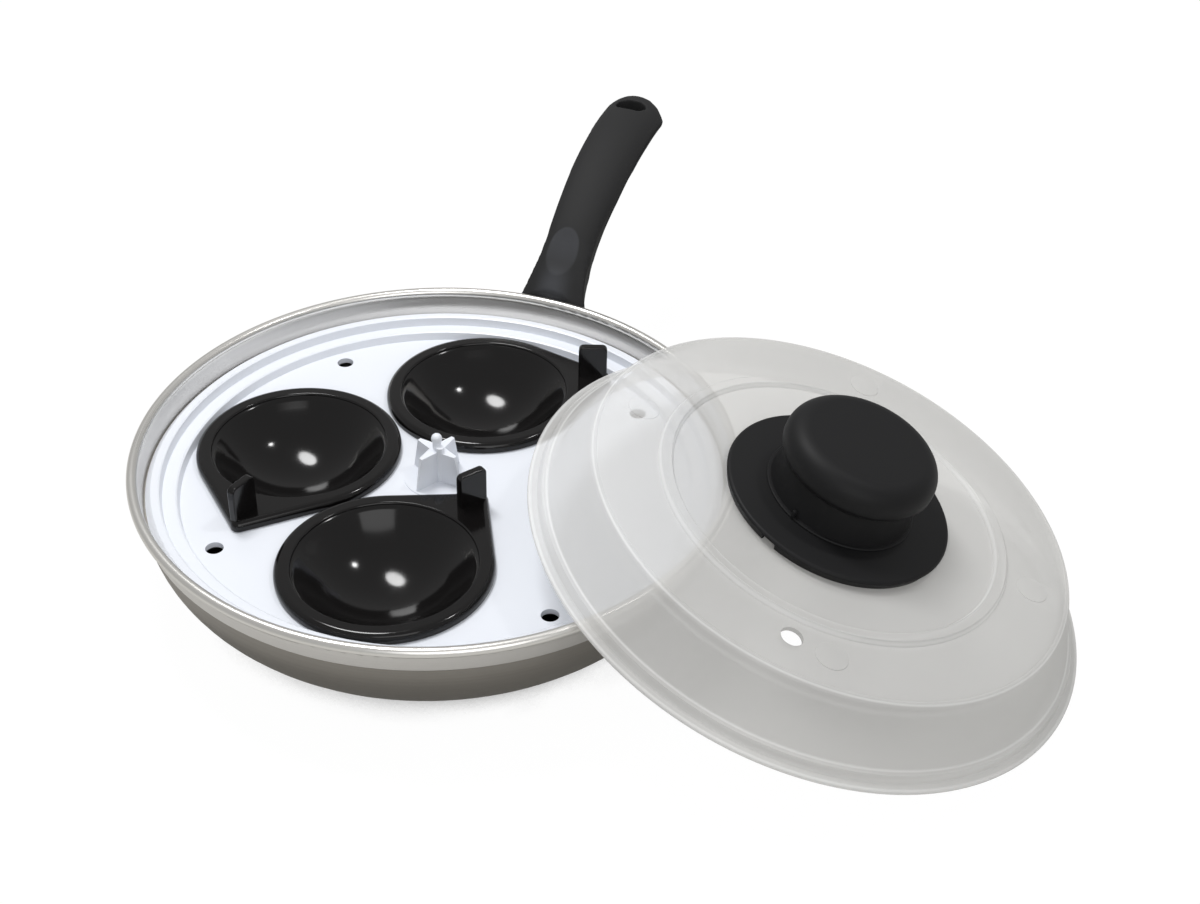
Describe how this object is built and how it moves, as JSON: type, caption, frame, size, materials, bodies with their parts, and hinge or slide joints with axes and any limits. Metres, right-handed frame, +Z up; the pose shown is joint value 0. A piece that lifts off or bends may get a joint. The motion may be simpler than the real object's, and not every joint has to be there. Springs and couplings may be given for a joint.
{
  "type": "egg poacher pan",
  "caption": "Shallow pan with an arched grip, a drop-in tray that holds lift-out poaching cups, and a knobbed lid leaning on its rim.",
  "frame": {"origin": "centre of the pan's base on the worktop", "axes": "+Z up out of the pan, +Y along the grip away from the pan, +X towards the side where the lid leans"},
  "size_m": [0.327, 0.3064, 0.0872],
  "materials": {
    "pan_metal": "satin spun",
    "fixing_steel": "satin",
    "grip_black": "fine matte",
    "tray_white": "satin gloss",
    "cup_black": "gloss",
    "lid_milky": "milky translucent",
    "knob_black": "fine matte"
  },
  "bodies": {
    "pan": {"pan_body": "pan_metal", "handle_bracket": "fixing_steel", "handle_grip": "grip_black", "handle_screw": "fixing_steel"},
    "tray": {"tray": "tray_white"},
    "cup_left": {"cup_left": "cup_black"},
    "cup_back": {"cup_back": "cup_black"},
    "cup_front": {"cup_front": "cup_black"},
    "lid": {"lid_cover": "lid_milky", "knob_base": "knob_black", "knob_grip": "knob_black", "knob_washer": "fixing_steel", "knob_screw": "fixing_steel"}
  },
  "joints": [
    {"name": "tray_lift", "type": "slide", "parent": "pan", "child": "tray", "axis": [0, 0, 1], "range_m": [0, 0.08]},
    {"name": "cup_left_lift", "type": "slide", "parent": "tray", "child": "cup_left", "axis": [0, 0, 1], "range_m": [0, 0.06]},
    {"name": "cup_back_lift", "type": "slide", "parent": "tray", "child": "cup_back", "axis": [0, 0, 1], "range_m": [0, 0.06]},
    {"name": "cup_front_lift", "type": "slide", "parent": "tray", "child": "cup_front", "axis": [0, 0, 1], "range_m": [0, 0.06]},
    {"name": "lid_lift", "type": "slide", "parent": "tray", "child": "lid", "axis": [0, 0, 1], "range_m": [0, 0.12]}
  ]
}
